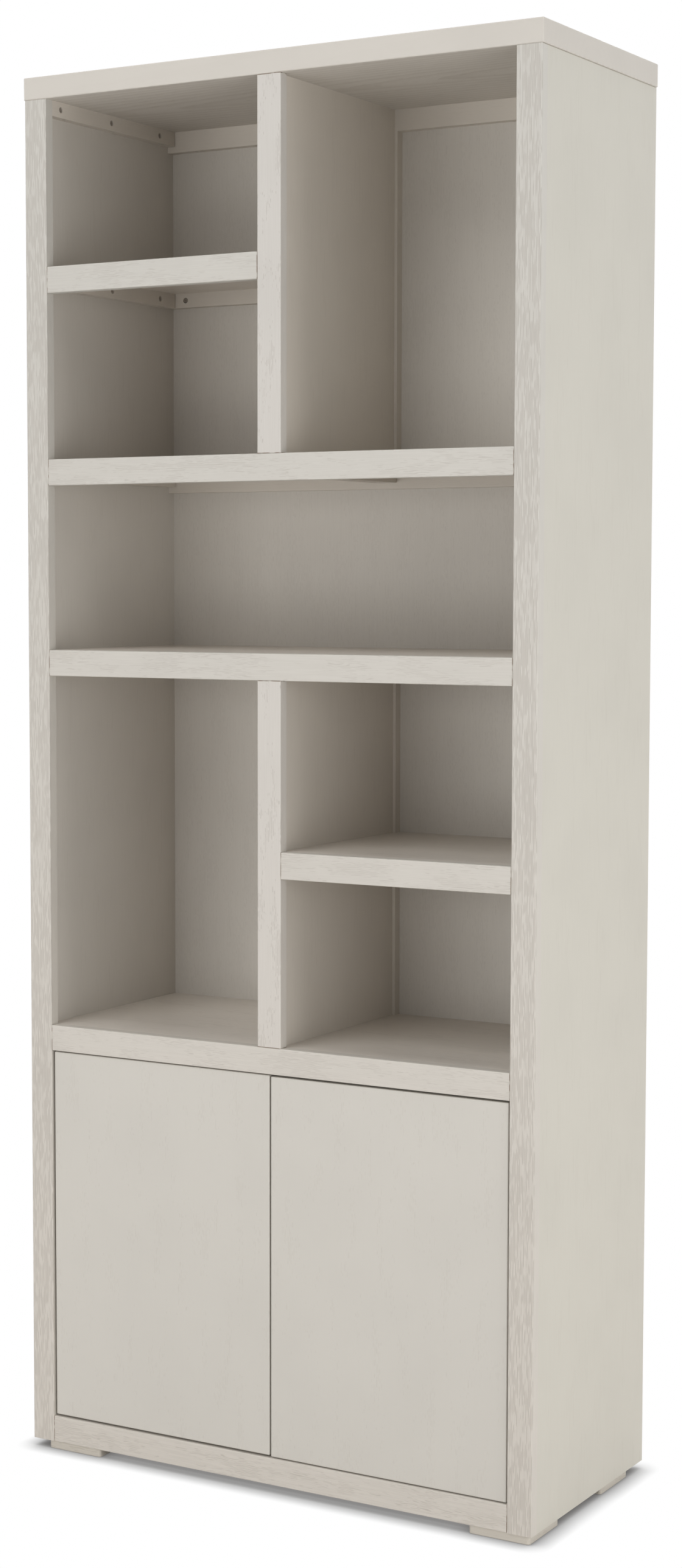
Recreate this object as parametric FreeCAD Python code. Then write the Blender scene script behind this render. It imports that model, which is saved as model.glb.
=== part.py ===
import FreeCAD
import Part
import math
import os
from collections import namedtuple

# A free-standing bookcase: open niches of several sizes above a cabinet with two inset doors.
# Sizes are in millimetres. X runs to the right, Y to the back and Z up.
# The origin is on the floor, below the middle of the top panel.

# Case
CASE_WIDTH = 896.0
CASE_DEPTH = 406.0
SIDE_THICKNESS = 25.0
STILE_WIDTH = 40.0
EDGE_DEPTH = 18.0
RAIL_SETBACK = 0.5
TOP_THICKNESS = 35.0
TOP_OVERHANG = 2.0
BACK_THICKNESS = 9.0
BACK_RECESS = 11.0
BACK_REBATE = 10.0
BACK_FIT = 0.5

# Heights
FOOT_HEIGHT = 13.0
BOTTOM_RAIL_HEIGHT = 42.0
DOOR_OPENING_HEIGHT = 600.0
NICHE_HEIGHT = 260.0
SHELF_RAIL_HEIGHT = 41.0

# Shelves, dividers and bottom
BOARD_THICKNESS = 9.0
DIVIDER_THICKNESS = 25.0
DIVIDER_STILE_WIDTH = 41.0
BOTTOM_THICKNESS = 16.0
RUNNER_WIDTH = 75.0

# Cleats, braces and battens
SIDE_CLEAT_HEIGHT = 24.0
REAR_CLEAT_HEIGHT = 34.0
REAR_CLEAT_THICKNESS = 16.0
CLEAT_END_GAP = 1.5
BRACE_WIDTH = 36.0
BATTEN_WIDTH = 35.0

# Rounded arrises
EDGE_ARRIS = 1.2
TOP_ARRIS = 1.5
TOP_SHADOW_CHAMFER = 1.0
DOOR_ARRIS = 1.8

# Feet
FOOT_SIZE = 100.0
FOOT_CORNER = 5.0
FOOT_ARRIS = 1.5
FOOT_FRONT_INSET = 2.5
FOOT_REAR_INSET = 51.0
FOOT_LEFT_INSET = 29.0
FOOT_RIGHT_INSET = 4.0

# Doors
DOOR_THICKNESS = 19.0
DOOR_SETBACK = 3.5
DOOR_SIDE_GAP = 3.0
DOOR_MIDDLE_GAP = 2.5
DOOR_TOP_GAP = 2.0
DOOR_BOTTOM_GAP = 3.0
RIGHT_DOOR_DROP = 1.5

# Concealed hinges: a cup let into the door, and a bent arm that turns on a pin inside the cup
HINGE_END_DISTANCE = 100.0
HINGE_EDGE_INSET = 16.0
HINGE_FRONT_INSET = 9.5
HINGE_PIN_RADIUS = 1.75
HINGE_PIN_PLAY = 0.05
HINGE_PIN_FIT = 0.02
KNUCKLE_RADIUS = 3.4
KNUCKLE_CLEARANCE = 0.5
ARM_HEIGHT = 12.0
ARM_THICKNESS = 3.0
ARM_BEND = 3.0
ARM_SWING_CLEARANCE = 3.0
ARM_BACK_CLEARANCE = 11.0
LUG_CLEARANCE = 0.3
LUG_THICKNESS = 3.0
CUP_RADIUS = 17.5
CUP_WALL = 1.0
CUP_SWING_CLEARANCE = 3.9
CUP_FIT = 0.05
CUP_FLANGE = 1.0
CUP_FLANGE_LIP = 2.5
CUP_WING_LENGTH = 54.0
CUP_WING_WIDTH = 18.0
PLATE_LENGTH = 38.0
PLATE_HEIGHT = 36.0
PLATE_CORNER = 4.0
PLATE_SCREW_SPACING = 22.0
HINGE_BLOCK_DEPTH = 70.0
HINGE_BLOCK_HEIGHT = 80.0

# Push latches on the cabinet floor
LATCH_FROM_MIDDLE = 34.0
LATCH_WIDTH = 17.0
LATCH_LENGTH = 62.0
LATCH_HEIGHT = 19.0
LATCH_FRONT_GAP = 12.0
LATCH_CORNER = 3.0
LATCH_BACK_WALL = 4.0
LATCH_BASE_WIDTH = 41.0
LATCH_BASE_THICKNESS = 2.5
LATCH_SCREW_SPACING = 30.0
PLUNGER_RADIUS = 4.5
PLUNGER_LENGTH = 46.0
PLUNGER_TIP_ARRIS = 1.5
PLUNGER_PLAY = 0.08
PLUNGER_DOOR_GAP = 0.3

# Loose shelf inside the cabinet
INNER_SHELF_THICKNESS = 18.0
INNER_SHELF_LEVEL = 290.0
INNER_SHELF_FRONT_INSET = 50.0
INNER_SHELF_PLAY = 1.0
SHELF_PIN_RADIUS = 2.5
SHELF_PIN_FIT = 0.05
SHELF_PIN_IN_SIDE = 11.0
SHELF_PIN_REACH = 10.0
SHELF_PIN_FRONT = 85.0
SHELF_PIN_REAR = 340.0
PIN_HOLE_PITCH = 32.0
PIN_HOLES_EACH_WAY = 2

# Wood screws
SCREW_SHANK_RADIUS = 2.0
SCREW_HEAD_RADIUS = 4.0
SCREW_HEAD_HEIGHT = 2.4
SCREW_TIP = 4.0
SCREW_FIT = 0.05
SCREW_CROSS_LENGTH = 4.6
SCREW_CROSS_WIDTH = 0.9
SCREW_CROSS_DEPTH = 1.2
COUNTERBORE_PLAY = 0.5
COUNTERBORE_RECESS = 1.0
SCREW_BITE = 14.0
BOARD_BITE = 6.0
CLEAT_SCREW_FRONT = 23.0
CLEAT_SCREW_REAR = 45.0
CLEAT_SCREW_STAGGER = 16.0
REAR_SCREW_END = 55.0
REAR_SCREW_FROM_MIDDLE = 148.0
SHORT_REAR_SCREW_END = 35.0
BACK_SCREW_END = 60.0
BACK_SCREW_COUNT = 7
FOOT_SCREW_SPACING = 50.0
FOOT_SCREW_RECESS = 4.0

# Planes worked out from the driving sizes
LEFT = -CASE_WIDTH / 2
RIGHT = CASE_WIDTH / 2
FRONT = -CASE_DEPTH / 2
REAR = CASE_DEPTH / 2
SIDE_INNER = RIGHT - SIDE_THICKNESS
STILE_INNER = RIGHT - STILE_WIDTH
EDGE_REAR = FRONT + EDGE_DEPTH
RAIL_FRONT = FRONT + RAIL_SETBACK
BACK_FACE = REAR - BACK_RECESS - BACK_THICKNESS
CLEAT_FACE = BACK_FACE - REAR_CLEAT_THICKNESS
CLEAT_THICKNESS = STILE_WIDTH - SIDE_THICKNESS
CLEAT_REAR = CLEAT_FACE - CLEAT_END_GAP
DIVIDER_FACE = DIVIDER_THICKNESS / 2
DIVIDER_STILE_FACE = DIVIDER_STILE_WIDTH / 2

# Levels of the shelf tops
SHELF_PITCH = NICHE_HEIGHT + SHELF_RAIL_HEIGHT
CABINET_FLOOR = FOOT_HEIGHT + BOTTOM_RAIL_HEIGHT
OPENING_TOP = CABINET_FLOOR + DOOR_OPENING_HEIGHT
CABINET_TOP = OPENING_TOP + SHELF_RAIL_HEIGHT
LOWER_RIGHT_SHELF = CABINET_TOP + SHELF_PITCH
MIDDLE_SHELF = LOWER_RIGHT_SHELF + SHELF_PITCH
UPPER_SHELF = MIDDLE_SHELF + SHELF_PITCH
UPPER_LEFT_SHELF = UPPER_SHELF + SHELF_PITCH
CASE_TOP = UPPER_LEFT_SHELF + NICHE_HEIGHT

# Door and hinge places, for the left door. The right door is its mirror image, hung a little lower.
DOOR_EDGE = STILE_INNER - DOOR_SIDE_GAP
DOOR_FRONT = FRONT + DOOR_SETBACK
DOOR_BACK = DOOR_FRONT + DOOR_THICKNESS
DOOR_BOTTOM = CABINET_FLOOR + DOOR_BOTTOM_GAP
DOOR_TOP = OPENING_TOP - DOOR_TOP_GAP
HINGE_X = DOOR_EDGE - HINGE_EDGE_INSET
HINGE_Y = DOOR_FRONT + HINGE_FRONT_INSET
HINGE_LEVELS = [DOOR_BOTTOM + HINGE_END_DISTANCE, DOOR_TOP - HINGE_END_DISTANCE]

# The shelf pins carry the loose shelf, so their level follows from it
SHELF_PIN_LEVEL = CABINET_FLOOR + INNER_SHELF_LEVEL - INNER_SHELF_THICKNESS - SHELF_PIN_RADIUS

X_AXIS = FreeCAD.Vector(1, 0, 0)
Y_AXIS = FreeCAD.Vector(0, 1, 0)
Z_AXIS = FreeCAD.Vector(0, 0, 1)
ORIGIN = FreeCAD.Vector(0, 0, 0)

# mouth is the point where the screw enters the outer face, drive is the way it goes in, length is
# from the mouth to the tip, and recess is how far the head lies below the face.
Screw = namedtuple("Screw", "mouth drive length recess")


def block(x0, x1, y0, y1, z0, z1):
    """A box between two corners, in any order along X."""
    low = min(x0, x1)
    high = max(x0, x1)
    return Part.makeBox(high - low, y1 - y0, z1 - z0, FreeCAD.Vector(low, y0, z0))


def mirrored(shape):
    """The shape's mirror image, left for right."""
    return shape.mirror(ORIGIN, X_AXIS)


def edges_along(shape, axis, places):
    """The straight edges that run along an axis through any of the given points."""
    found = []
    for edge in shape.Edges:
        if not isinstance(edge.Curve, Part.Line):
            continue
        if abs(abs(edge.Curve.Direction.dot(axis)) - 1) > 1e-6:
            continue
        for place in places:
            if edge.distToShape(Part.Vertex(place))[0] < 1e-4:
                found.append(edge)
    return found


def eased_front(shape, axis, radius):
    """Rounds the two long front edges of an upright or level piece."""
    box = shape.BoundBox
    middle = box.Center
    if axis == X_AXIS:
        places = [FreeCAD.Vector(middle.x, box.YMin, box.ZMin), FreeCAD.Vector(middle.x, box.YMin, box.ZMax)]
    else:
        places = [FreeCAD.Vector(box.XMin, box.YMin, middle.z), FreeCAD.Vector(box.XMax, box.YMin, middle.z)]
    return shape.makeFillet(radius, edges_along(shape, axis, places))


# Screws


def screw_placement(screw):
    return FreeCAD.Placement(screw.mouth, FreeCAD.Rotation(Z_AXIS, screw.drive))


def screw_hole(screw):
    """The counterbore and shank hole that a screw needs in the pieces that it passes through."""
    head_seat = screw.recess + SCREW_HEAD_HEIGHT
    shank_start = FreeCAD.Vector(0, 0, max(head_seat, 0))
    shank_length = screw.length - shank_start.z + SCREW_FIT
    hole = Part.makeCylinder(SCREW_SHANK_RADIUS + SCREW_FIT, shank_length, shank_start)
    if head_seat > 0:
        hole = hole.fuse(Part.makeCylinder(SCREW_HEAD_RADIUS + COUNTERBORE_PLAY, head_seat))
    hole.Placement = screw_placement(screw)
    return hole


def plain_screw(length, recess):
    """A screw along Z, with a round head, a cross recess and a pointed shank."""
    head_seat = recess + SCREW_HEAD_HEIGHT
    tip_start = length - SCREW_TIP
    head = Part.makeCylinder(SCREW_HEAD_RADIUS, SCREW_HEAD_HEIGHT, FreeCAD.Vector(0, 0, recess))
    shank = Part.makeCylinder(SCREW_SHANK_RADIUS, tip_start - head_seat, FreeCAD.Vector(0, 0, head_seat))
    tip = Part.makeCone(SCREW_SHANK_RADIUS, 0, SCREW_TIP, FreeCAD.Vector(0, 0, tip_start))
    half_length = SCREW_CROSS_LENGTH / 2
    half_width = SCREW_CROSS_WIDTH / 2
    cross_floor = recess + SCREW_CROSS_DEPTH
    slot = block(-half_length, half_length, -half_width, half_width, recess, cross_floor)
    crossing_slot = block(-half_width, half_width, -half_length, half_length, recess, cross_floor)
    return head.fuse([shank, tip]).cut([slot, crossing_slot]).removeSplitter().Solids[0]


def screw_solids(screws):
    """Every screw in its place. Screws of one length and recess share one shape."""
    shapes = {}
    solids = []
    for screw in screws:
        size = (screw.length, screw.recess)
        if size not in shapes:
            shapes[size] = plain_screw(*size)
        solid = shapes[size].copy()
        solid.Placement = screw_placement(screw)
        solids.append(solid)
    return solids


def drilled(solid, holes):
    """The solid with every screw hole that reaches it."""
    reaching = [hole for hole in holes if hole.BoundBox.intersect(solid.BoundBox)]
    if not reaching:
        return solid
    return solid.cut(reaching).Solids[0]


# Case


def top_panel():
    edge = RIGHT + TOP_OVERHANG
    panel = block(-edge, edge, FRONT, REAR, CASE_TOP, CASE_TOP + TOP_THICKNESS)
    return panel.makeFillet(TOP_ARRIS, panel.Edges)


def shadow_edged(piece):
    """Takes the chamfer off the outer and front top edges, which leaves a dark line below the top panel."""
    box = piece.BoundBox
    outer = FreeCAD.Vector(box.XMax, box.Center.y, box.ZMax)
    front = FreeCAD.Vector(box.Center.x, box.YMin, box.ZMax)
    edges = edges_along(piece, Y_AXIS, [outer])
    if abs(box.YMin - FRONT) < 1e-6:
        edges += edges_along(piece, X_AXIS, [front])
    return piece.makeChamfer(TOP_SHADOW_CHAMFER, edges)


def right_stile():
    stile = block(STILE_INNER, RIGHT, FRONT, EDGE_REAR, FOOT_HEIGHT, CASE_TOP)
    return eased_front(shadow_edged(stile), Z_AXIS, EDGE_ARRIS)


def right_side_panel():
    """A side panel, with the rebate for the back and the rows of shelf pin holes."""
    panel = block(SIDE_INNER, RIGHT, EDGE_REAR, REAR, FOOT_HEIGHT, CASE_TOP)
    rear_corner = FreeCAD.Vector(RIGHT, REAR, panel.BoundBox.Center.z)
    panel = shadow_edged(panel.makeFillet(EDGE_ARRIS, edges_along(panel, Z_AXIS, [rear_corner])))
    cuts = [block(SIDE_INNER, SIDE_INNER + BACK_REBATE, BACK_FACE, REAR, FOOT_HEIGHT, CASE_TOP)]
    hole_radius = SHELF_PIN_RADIUS + SHELF_PIN_FIT
    for pin_y in (SHELF_PIN_FRONT, SHELF_PIN_REAR):
        for step in range(-PIN_HOLES_EACH_WAY, PIN_HOLES_EACH_WAY + 1):
            mouth = FreeCAD.Vector(SIDE_INNER, FRONT + pin_y, SHELF_PIN_LEVEL + step * PIN_HOLE_PITCH)
            cuts.append(Part.makeCylinder(hole_radius, SHELF_PIN_IN_SIDE, mouth, X_AXIS))
    return panel.cut(cuts).Solids[0]


def back_panel():
    edge = SIDE_INNER + BACK_REBATE - BACK_FIT
    return block(-edge, edge, BACK_FACE, BACK_FACE + BACK_THICKNESS, FOOT_HEIGHT, CASE_TOP)


def front_rail(x0, x1, top, height):
    rail = block(x0, x1, RAIL_FRONT, EDGE_REAR, top - height, top)
    return eased_front(rail, X_AXIS, EDGE_ARRIS)


def shelf_board(x0, x1, top):
    return block(x0, x1, EDGE_REAR, BACK_FACE, top - BOARD_THICKNESS, top)


def bottom_panel():
    underside = CABINET_FLOOR - BOTTOM_THICKNESS
    return block(-SIDE_INNER, SIDE_INNER, EDGE_REAR, BACK_FACE, underside, CABINET_FLOOR)


def right_bottom_runner():
    """A broad strip below the bottom panel, which the feet are screwed to."""
    underside = CABINET_FLOOR - BOTTOM_THICKNESS
    return block(SIDE_INNER - RUNNER_WIDTH, SIDE_INNER, EDGE_REAR, BACK_FACE, FOOT_HEIGHT, underside)


def divider_panel(bottom, top):
    return block(-DIVIDER_FACE, DIVIDER_FACE, EDGE_REAR, CLEAT_FACE, bottom, top)


def divider_stile(bottom, top):
    stile = block(-DIVIDER_STILE_FACE, DIVIDER_STILE_FACE, RAIL_FRONT, EDGE_REAR, bottom, top)
    return eased_front(stile, Z_AXIS, EDGE_ARRIS)


def back_batten(bottom, top):
    """The upright strip behind a divider, which holds it to the back."""
    return block(-BATTEN_WIDTH / 2, BATTEN_WIDTH / 2, CLEAT_FACE, BACK_FACE, bottom, top)


def foot_corner(from_left, at_front):
    """The low corner of a foot, with the least X and Y."""
    x = LEFT + FOOT_LEFT_INSET if from_left else RIGHT - FOOT_RIGHT_INSET - FOOT_SIZE
    y = FRONT + FOOT_FRONT_INSET if at_front else REAR - FOOT_REAR_INSET - FOOT_SIZE
    return x, y


def foot(from_left, at_front):
    x, y = foot_corner(from_left, at_front)
    pad = block(x, x + FOOT_SIZE, y, y + FOOT_SIZE, 0, FOOT_HEIGHT)
    corners = [FreeCAD.Vector(x + i * FOOT_SIZE, y + j * FOOT_SIZE, 0) for i in (0, 1) for j in (0, 1)]
    pad = pad.makeFillet(FOOT_CORNER, edges_along(pad, Z_AXIS, corners))
    underside = min(pad.Faces, key=lambda face: face.CenterOfMass.z)
    return pad.makeFillet(FOOT_ARRIS, underside.Edges)


def foot_screws(from_left, at_front):
    x, y = foot_corner(from_left, at_front)
    middle = y + FOOT_SIZE / 2
    screws = []
    for step in (-0.5, 0.5):
        mouth = FreeCAD.Vector(x + FOOT_SIZE / 2, middle + step * FOOT_SCREW_SPACING, 0)
        screws.append(Screw(mouth, Z_AXIS, FOOT_HEIGHT + SCREW_BITE, FOOT_SCREW_RECESS))
    return screws


# Cleats


def side_cleat(wall_x, into, top):
    """A strip on a side or divider. into is +1 where it stands to the right of its wall."""
    face_x = wall_x + into * CLEAT_THICKNESS
    return block(wall_x, face_x, EDGE_REAR, CLEAT_REAR, top - SIDE_CLEAT_HEIGHT, top)


def side_cleat_screws(wall_x, into, top):
    """Three screws into the wall, and three upwards into what the cleat carries."""
    first = EDGE_REAR + CLEAT_SCREW_FRONT
    last = CLEAT_REAR - CLEAT_SCREW_REAR
    screws = []
    for y in (first, (first + last) / 2, last):
        across = FreeCAD.Vector(wall_x + into * CLEAT_THICKNESS, y, top - SIDE_CLEAT_HEIGHT / 2)
        screws.append(Screw(across, X_AXIS * -into, CLEAT_THICKNESS + SCREW_BITE, COUNTERBORE_RECESS))
        middle_x = wall_x + into * CLEAT_THICKNESS / 2
        upward = FreeCAD.Vector(middle_x, y + CLEAT_SCREW_STAGGER, top - SIDE_CLEAT_HEIGHT)
        screws.append(Screw(upward, Z_AXIS, SIDE_CLEAT_HEIGHT + BOARD_BITE, COUNTERBORE_RECESS))
    return screws


def rear_cleat(x0, x1, top, height):
    return block(x0, x1, CLEAT_FACE, BACK_FACE, top - height, top)


def long_rear_cleat_screws(top):
    """Screws from below, for a rear cleat that runs from side to side."""
    outer = SIDE_INNER - REAR_SCREW_END
    y = CLEAT_FACE + REAR_CLEAT_THICKNESS / 2
    screws = []
    for x in (-outer, -REAR_SCREW_FROM_MIDDLE, REAR_SCREW_FROM_MIDDLE, outer):
        mouth = FreeCAD.Vector(x, y, top - REAR_CLEAT_HEIGHT)
        screws.append(Screw(mouth, Z_AXIS, REAR_CLEAT_HEIGHT + BOARD_BITE, COUNTERBORE_RECESS))
    return screws


def short_rear_cleat_screws(x0, x1, top):
    """Screws into the back, for the rear cleat of a half-width shelf."""
    screws = []
    for x in (x0 + SHORT_REAR_SCREW_END, x1 - SHORT_REAR_SCREW_END):
        mouth = FreeCAD.Vector(x, CLEAT_FACE, top - SIDE_CLEAT_HEIGHT / 2)
        screws.append(Screw(mouth, Y_AXIS, REAR_CLEAT_THICKNESS + BOARD_BITE, COUNTERBORE_RECESS))
    return screws


def brace(top):
    """The strip from front to back below the middle of a shelf that carries a divider."""
    return block(-BRACE_WIDTH / 2, BRACE_WIDTH / 2, EDGE_REAR, CLEAT_REAR, top - SIDE_CLEAT_HEIGHT, top)


def brace_screws(top):
    screws = []
    for y in (EDGE_REAR + CLEAT_SCREW_FRONT, CLEAT_REAR - CLEAT_SCREW_REAR):
        mouth = FreeCAD.Vector(0, y, top - SIDE_CLEAT_HEIGHT)
        screws.append(Screw(mouth, Z_AXIS, SIDE_CLEAT_HEIGHT + BOARD_BITE, COUNTERBORE_RECESS))
    return screws


def back_screws():
    """Screws from behind, through the back and into the rebates of both sides."""
    span = CASE_TOP - FOOT_HEIGHT - 2 * BACK_SCREW_END
    x = SIDE_INNER + BACK_REBATE / 2
    screws = []
    for step in range(BACK_SCREW_COUNT):
        z = FOOT_HEIGHT + BACK_SCREW_END + span * step / (BACK_SCREW_COUNT - 1)
        for side in (-1, 1):
            mouth = FreeCAD.Vector(side * x, BACK_FACE + BACK_THICKNESS, z)
            screws.append(Screw(mouth, Y_AXIS * -1, BACK_THICKNESS + SCREW_BITE, -SCREW_HEAD_HEIGHT / 2))
    return screws


# Doors and hinges. Hinge pieces are made about their pin, with X towards the door's free edge.

PIN_TO_BACK = DOOR_THICKNESS - HINGE_FRONT_INSET
CUP_DEPTH = PIN_TO_BACK + KNUCKLE_RADIUS + KNUCKLE_CLEARANCE + CUP_WALL
CUP_FLOOR = PIN_TO_BACK - CUP_DEPTH + CUP_WALL
ARM_REACH = PIN_TO_BACK + CUP_FLANGE + ARM_SWING_CLEARANCE + ARM_THICKNESS / 2
ARM_BACK = PIN_TO_BACK + ARM_BACK_CLEARANCE
ARM_OUTSIDE = ARM_REACH + ARM_THICKNESS / 2
ARM_INSIDE = ARM_REACH - ARM_THICKNESS / 2
CUP_HALF_CHORD = math.sqrt((CUP_RADIUS - CUP_WALL) ** 2 - (ARM_HEIGHT / 2) ** 2)
CUP_X = ARM_OUTSIDE + CUP_SWING_CLEARANCE - CUP_HALF_CHORD
PLATE_BACK = -(HINGE_EDGE_INSET + DOOR_SIDE_GAP)
PLATE_FACE = PLATE_BACK + ARM_THICKNESS
LUG_INSIDE = ARM_HEIGHT / 2 + LUG_CLEARANCE
LUG_OUTSIDE = LUG_INSIDE + LUG_THICKNESS
PLATE_SCREW_Y = ARM_BACK + ARM_THICKNESS + (PLATE_LENGTH - ARM_THICKNESS) / 2


def upright_cylinder(radius, half_height):
    return Part.makeCylinder(radius, 2 * half_height, FreeCAD.Vector(0, 0, -half_height))


def hinge_cup():
    """A cup with a flange on the door's back face, two wings, and two lugs that hold the pin."""
    floor = FreeCAD.Vector(CUP_X, PIN_TO_BACK - CUP_DEPTH, 0)
    face = FreeCAD.Vector(CUP_X, PIN_TO_BACK, 0)
    shell = Part.makeCylinder(CUP_RADIUS, CUP_DEPTH, floor, Y_AXIS)
    flange = Part.makeCylinder(CUP_RADIUS + CUP_FLANGE_LIP, CUP_FLANGE, face, Y_AXIS)
    half_width = CUP_WING_WIDTH / 2
    straight = CUP_WING_LENGTH / 2 - half_width
    flange_face = PIN_TO_BACK + CUP_FLANGE
    wings = [block(CUP_X - half_width, CUP_X + half_width, PIN_TO_BACK, flange_face, -straight, straight)]
    for end in (-straight, straight):
        wing_end = FreeCAD.Vector(CUP_X, PIN_TO_BACK, end)
        wings.append(Part.makeCylinder(half_width, CUP_FLANGE, wing_end, Y_AXIS))
    hollow_floor = FreeCAD.Vector(CUP_X, CUP_FLOOR, 0)
    hollow = Part.makeCylinder(CUP_RADIUS - CUP_WALL, flange_face - CUP_FLOOR, hollow_floor, Y_AXIS)
    lugs = []
    for side in (-1, 1):
        low = min(side * LUG_INSIDE, side * LUG_OUTSIDE)
        high = low + LUG_THICKNESS
        lugs.append(block(-KNUCKLE_RADIUS, KNUCKLE_RADIUS, CUP_FLOOR, KNUCKLE_RADIUS, low, high))
    pin_hole = upright_cylinder(HINGE_PIN_RADIUS + HINGE_PIN_FIT, LUG_OUTSIDE)
    cup = shell.fuse([flange] + wings).cut(hollow).fuse(lugs).cut(pin_hole)
    return cup.removeSplitter().Solids[0]


def hinge_pin():
    return upright_cylinder(HINGE_PIN_RADIUS, LUG_OUTSIDE)


def hinge_arm():
    """A strip that hooks round the door's edge: knuckle, reach, neck, return and mounting plate."""
    half = ARM_HEIGHT / 2
    rear = ARM_BACK + ARM_THICKNESS
    reach = block(0, ARM_OUTSIDE, -ARM_THICKNESS / 2, ARM_THICKNESS / 2, -half, half)
    neck = block(ARM_INSIDE, ARM_OUTSIDE, -ARM_THICKNESS / 2, rear, -half, half)
    back = block(PLATE_BACK, ARM_OUTSIDE, ARM_BACK, rear, -half, half)
    strip = reach.fuse([neck, back]).removeSplitter()
    bends = [FreeCAD.Vector(ARM_OUTSIDE, -ARM_THICKNESS / 2, 0), FreeCAD.Vector(ARM_OUTSIDE, rear, 0)]
    strip = strip.makeFillet(ARM_BEND, edges_along(strip, Z_AXIS, bends))
    plate_end = ARM_BACK + PLATE_LENGTH
    plate = block(PLATE_BACK, PLATE_FACE, ARM_BACK, plate_end, -PLATE_HEIGHT / 2, PLATE_HEIGHT / 2)
    ends = [ARM_BACK, plate_end]
    corners = [FreeCAD.Vector(PLATE_BACK, y, z * PLATE_HEIGHT / 2) for y in ends for z in (-1, 1)]
    plate = plate.makeFillet(PLATE_CORNER, edges_along(plate, X_AXIS, corners))
    pin_hole = upright_cylinder(HINGE_PIN_RADIUS + HINGE_PIN_PLAY, half)
    arm = strip.fuse([upright_cylinder(KNUCKLE_RADIUS, half), plate]).cut(pin_hole)
    return arm.removeSplitter().Solids[0]


def hinge_places(side):
    """The pin's middle at each hinge of a door. side is -1 for the left door and +1 for the right."""
    drop = RIGHT_DOOR_DROP if side > 0 else 0
    return [FreeCAD.Vector(side * HINGE_X, HINGE_Y, level - drop) for level in HINGE_LEVELS]


def at_hinges(shape, side):
    """One copy of a hinge piece at each hinge of a door."""
    handed = shape if side < 0 else mirrored(shape)
    return [handed.translated(place) for place in hinge_places(side)]


def hinge_blocks(side):
    """Wood blocks that bring the recessed side out flush with the stile, for the hinge plates."""
    half = HINGE_BLOCK_HEIGHT / 2
    rear = EDGE_REAR + HINGE_BLOCK_DEPTH
    blocks = []
    for place in hinge_places(side):
        low = place.z - half
        high = place.z + half
        blocks.append(block(side * STILE_INNER, side * SIDE_INNER, EDGE_REAR, rear, low, high))
    return blocks


def hinge_screws(side):
    screws = []
    for place in hinge_places(side):
        for step in (-0.5, 0.5):
            offset = FreeCAD.Vector(-side * PLATE_FACE, PLATE_SCREW_Y, step * PLATE_SCREW_SPACING)
            drive = X_AXIS * side
            screws.append(Screw(place + offset, drive, ARM_THICKNESS + SCREW_BITE, -SCREW_HEAD_HEIGHT))
    return screws


def door(side):
    """A plain panel with rounded edges, bored at the back for its two hinge cups."""
    drop = RIGHT_DOOR_DROP if side > 0 else 0
    free_edge = side * DOOR_MIDDLE_GAP / 2
    bottom = DOOR_BOTTOM - drop
    panel = block(free_edge, side * DOOR_EDGE, DOOR_FRONT, DOOR_BACK, bottom, DOOR_TOP - drop)
    panel = panel.makeFillet(DOOR_ARRIS, panel.Edges)
    floor = FreeCAD.Vector(CUP_X, PIN_TO_BACK - CUP_DEPTH, 0)
    bore = Part.makeCylinder(CUP_RADIUS + CUP_FIT, CUP_DEPTH, floor, Y_AXIS)
    return panel.cut(at_hinges(bore, side)).Solids[0]


# Push latches

LATCH_FRONT = DOOR_BACK + LATCH_FRONT_GAP
LATCH_REAR = LATCH_FRONT + LATCH_LENGTH
PLUNGER_TIP = DOOR_BACK + PLUNGER_DOOR_GAP
PLUNGER_LEVEL = CABINET_FLOOR + LATCH_BASE_THICKNESS + (LATCH_HEIGHT - LATCH_BASE_THICKNESS) / 2


def latch_housing():
    """The right-hand latch's housing: a blind bored body on a screwed base."""
    half = LATCH_WIDTH / 2
    top = CABINET_FLOOR + LATCH_HEIGHT
    x = LATCH_FROM_MIDDLE
    body = block(x - half, x + half, LATCH_FRONT, LATCH_REAR, CABINET_FLOOR, top)
    shoulders = [FreeCAD.Vector(x + s * half, LATCH_FRONT, top) for s in (-1, 1)]
    body = body.makeFillet(LATCH_CORNER, edges_along(body, Y_AXIS, shoulders))
    base_half = LATCH_BASE_WIDTH / 2
    base_top = CABINET_FLOOR + LATCH_BASE_THICKNESS
    base = block(x - base_half, x + base_half, LATCH_FRONT, LATCH_REAR, CABINET_FLOOR, base_top)
    ends = [LATCH_FRONT, LATCH_REAR]
    corners = [FreeCAD.Vector(x + s * base_half, y, base_top) for s in (-1, 1) for y in ends]
    base = base.makeFillet(LATCH_CORNER, edges_along(base, Z_AXIS, corners))
    mouth = FreeCAD.Vector(x, LATCH_FRONT, PLUNGER_LEVEL)
    bore = Part.makeCylinder(PLUNGER_RADIUS + PLUNGER_PLAY, LATCH_LENGTH - LATCH_BACK_WALL, mouth, Y_AXIS)
    return body.fuse(base).cut(bore).removeSplitter().Solids[0]


def latch_plunger():
    tip = FreeCAD.Vector(LATCH_FROM_MIDDLE, PLUNGER_TIP, PLUNGER_LEVEL)
    rod = Part.makeCylinder(PLUNGER_RADIUS, PLUNGER_LENGTH, tip, Y_AXIS)
    tip_face = min(rod.Faces, key=lambda face: face.CenterOfMass.y)
    return rod.makeFillet(PLUNGER_TIP_ARRIS, tip_face.Edges)


def latch_screws(side):
    middle = LATCH_FRONT + LATCH_LENGTH / 2
    screws = []
    for step in (-0.5, 0.5):
        x = side * LATCH_FROM_MIDDLE + step * LATCH_SCREW_SPACING
        mouth = FreeCAD.Vector(x, middle, CABINET_FLOOR + LATCH_BASE_THICKNESS)
        screws.append(Screw(mouth, Z_AXIS * -1, LATCH_BASE_THICKNESS + SCREW_BITE, -SCREW_HEAD_HEIGHT))
    return screws


# Loose shelf


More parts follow.
